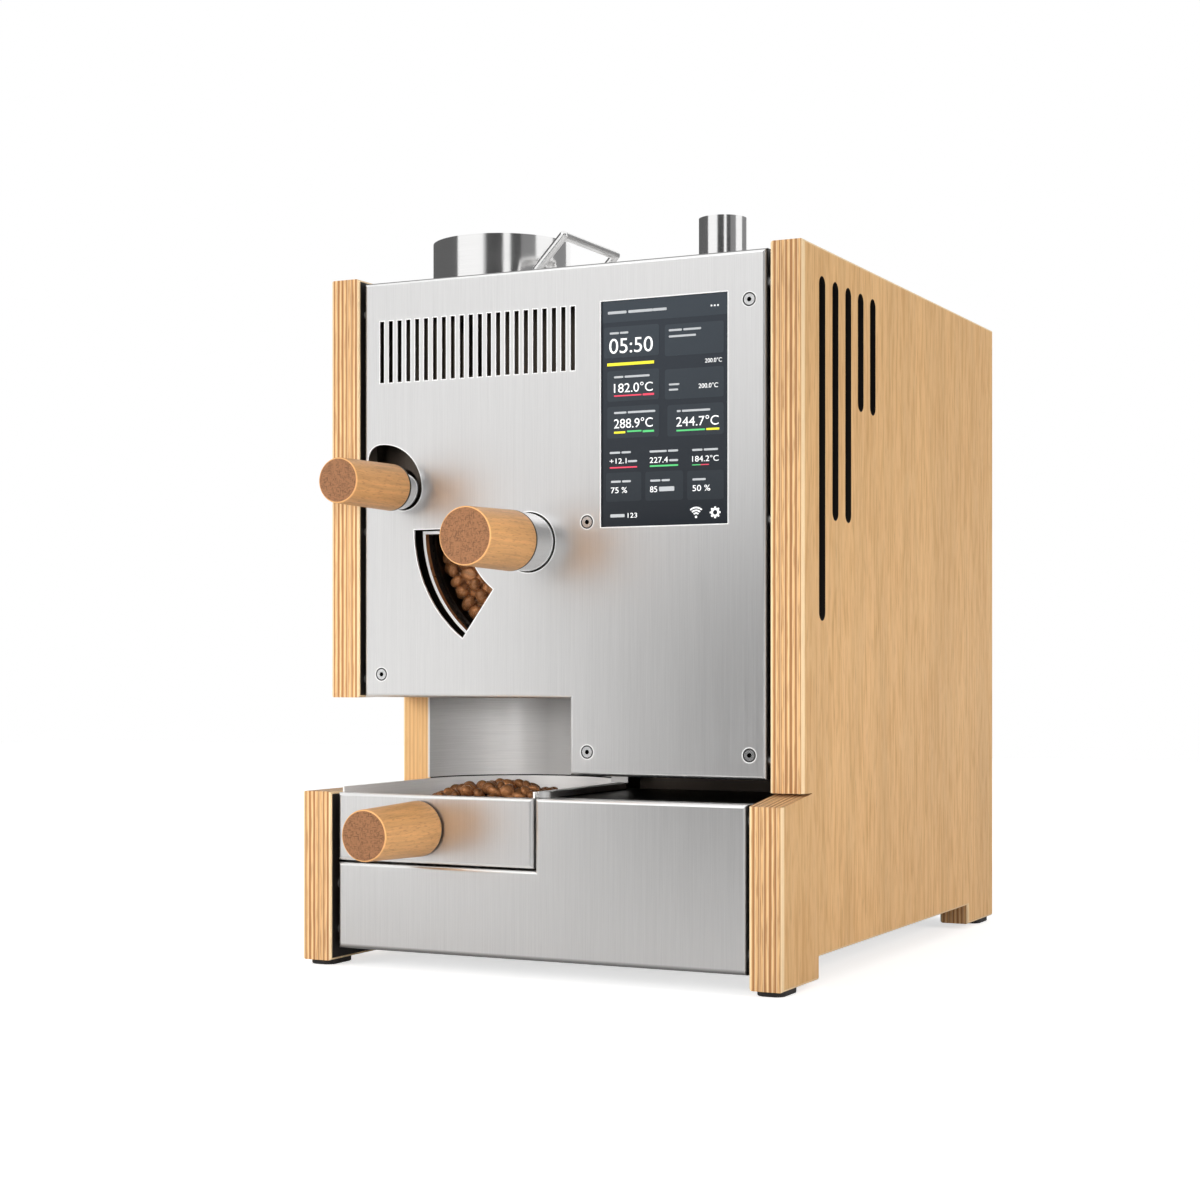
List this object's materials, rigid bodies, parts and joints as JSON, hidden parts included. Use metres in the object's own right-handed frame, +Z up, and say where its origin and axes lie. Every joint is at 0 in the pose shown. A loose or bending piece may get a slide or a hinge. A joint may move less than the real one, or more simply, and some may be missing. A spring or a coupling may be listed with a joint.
{
  "type": "coffee bean roaster",
  "caption": "Countertop drum coffee roaster with wooden sides, steel front, touch screen, sight window, charge lever, sampler, hopper, exhaust stub and cooling drawer.",
  "frame": {"origin": "on the table, under the middle of the bounding box", "axes": "+Z up, -Y out of the front, +X to the right seen from the front"},
  "size_m": [0.34, 0.504, 0.497],
  "materials": {
    "side_wood": "clear-oiled veneered plywood",
    "knob_wood": "oiled turned beech",
    "brushed_panel": "vertical brushed stainless",
    "inner_sheet": "mill finish sheet",
    "polished_tube": "turned and polished stainless",
    "bright_trim": "polished",
    "screw_steel": "satin stainless",
    "window_glass": "clear borosilicate",
    "screen_glass": "dark glossy screen",
    "rubber_pad": "matte",
    "black_plastic": "moulded",
    "bush_bronze": "turned",
    "drum_steel": "heat darkened",
    "motor_case": "black",
    "bead_board": "circuit board",
    "heater_wire": "mica and resistance wire",
    "roasted_beans": "roasted coffee beans"
  },
  "bodies": {
    "casing": {"side_panel_left": "side_wood", "side_panel_right": "side_wood", "front_panel": "brushed_panel", "lower_front_panel": "brushed_panel", "top_cover": "brushed_panel", "back_panel": "inner_sheet", "base_pan": "inner_sheet", "bulkhead": "inner_sheet", "deck_plate": "brushed_panel", "bay_wall": "brushed_panel", "panel_spacers": "inner_sheet", "front_screws": "screw_steel", "rubber_feet": "rubber_pad", "window_frame": "bright_trim", "sight_glass": "window_glass", "drum_beans": "roasted_beans", "drum_housing": "inner_sheet", "drum_bearings": "screw_steel", "drive_belt": "rubber_pad", "drum_gearmotor": "motor_case", "hot_air_duct": "inner_sheet", "heater_element": "heater_wire", "fan_motors": "motor_case", "exhaust_fan_housing": "inner_sheet", "exhaust_stub": "polished_tube", "bean_hopper": "polished_tube", "charge_chute": "inner_sheet", "sampler_sleeve": "polished_tube", "discharge_chute": "inner_sheet", "discharge_servo": "black_plastic", "chaff_box": "inner_sheet", "chaff_basket": "inner_sheet", "touch_screen": "screen_glass", "display_module": "black_plastic", "drawer_runners": "inner_sheet", "cooling_fan_frame": "black_plastic", "control_board": "bead_board", "power_supply": "inner_sheet", "power_inlet": "black_plastic"},
    "charge_lever": {"charge_lever": "bright_trim", "charge_knob": "knob_wood", "charge_gate": "inner_sheet"},
    "sampler_bush": {"sampler_bush": "bush_bronze"},
    "sampler": {"sampler_rod": "polished_tube", "sampler_knob": "knob_wood"},
    "drawer": {"drawer_front": "brushed_panel", "drawer_knob": "knob_wood", "cooling_tray": "brushed_panel", "tray_sieve": "inner_sheet", "tray_beans": "roasted_beans"},
    "drum": {"roasting_drum": "drum_steel", "drum_pulley": "screw_steel"},
    "motor_pulley": {"motor_pulley": "screw_steel"},
    "discharge_flap": {"discharge_flap": "inner_sheet"},
    "lid": {"top_lid": "brushed_panel"},
    "bail": {"bail_handle": "polished_tube"},
    "blower": {"blower_impeller": "black_plastic"},
    "exhaust_fan": {"exhaust_impeller": "black_plastic"},
    "cooling_fan": {"cooling_impeller": "black_plastic"},
    "rocker": {"power_rocker": "black_plastic"}
  },
  "joints": [
    {"name": "charge_lever_turn", "type": "hinge", "parent": "casing", "child": "charge_lever", "pos_m": [-0.1347, -0.154, 0.3143], "axis": [0, -1, 0], "range_deg": [0, 80]},
    {"name": "sampler_turn", "type": "hinge", "parent": "casing", "child": "sampler_bush", "pos_m": [-0.0202, -0.1776, 0.2765], "axis": [0, -1, 0], "range_deg": [0, 180]},
    {"name": "sampler_pull", "type": "slide", "parent": "sampler_bush", "child": "sampler", "axis": [0, -1, 0], "range_m": [0, 0.095]},
    {"name": "drawer_slide", "type": "slide", "parent": "casing", "child": "drawer", "axis": [0, -1, 0], "range_m": [0, 0.14]},
    {"name": "drum_spin", "type": "hinge", "parent": "casing", "child": "drum", "pos_m": [-0.0173, -0.0415, 0.2868], "axis": [0, 1, 0], "continuous": true},
    {"name": "motor_spin", "type": "hinge", "parent": "casing", "child": "motor_pulley", "pos_m": [-0.095, 0.0085, 0.25], "axis": [0, 1, 0], "continuous": true},
    {"name": "discharge_flap_turn", "type": "hinge", "parent": "casing", "child": "discharge_flap", "pos_m": [-0.023, -0.137, 0.243], "axis": [-1, 0, 0], "range_deg": [0, 24]},
    {"name": "lid_hinge", "type": "hinge", "parent": "casing", "child": "lid", "pos_m": [0.003, -0.015, 0.457], "axis": [-1, 0, 0], "range_deg": [0, 100]},
    {"name": "bail_swing", "type": "hinge", "parent": "lid", "child": "bail", "pos_m": [-0.029, -0.086, 0.4581], "axis": [0, -1, 0], "range_deg": [-45, 45]},
    {"name": "blower_spin", "type": "hinge", "parent": "casing", "child": "blower", "pos_m": [0.025, 0.1405, 0.32], "axis": [0, 1, 0], "continuous": true},
    {"name": "exhaust_spin", "type": "hinge", "parent": "casing", "child": "exhaust_fan", "pos_m": [0.0506, -0.056, 0.4191], "axis": [1, 0, 0], "continuous": true},
    {"name": "cooling_spin", "type": "hinge", "parent": "casing", "child": "cooling_fan", "pos_m": [-0.07275, -0.0895, 0.0311], "axis": [0, 0, 1], "continuous": true},
    {"name": "rocker_turn", "type": "hinge", "parent": "casing", "child": "rocker", "pos_m": [0.1, 0.2425, 0.073], "axis": [-1, 0, 0], "range_deg": [0, 14]}
  ],
  "couplings": [
    {"joint": "motor_spin", "follows": "drum_spin", "ratio": 2}
  ]
}
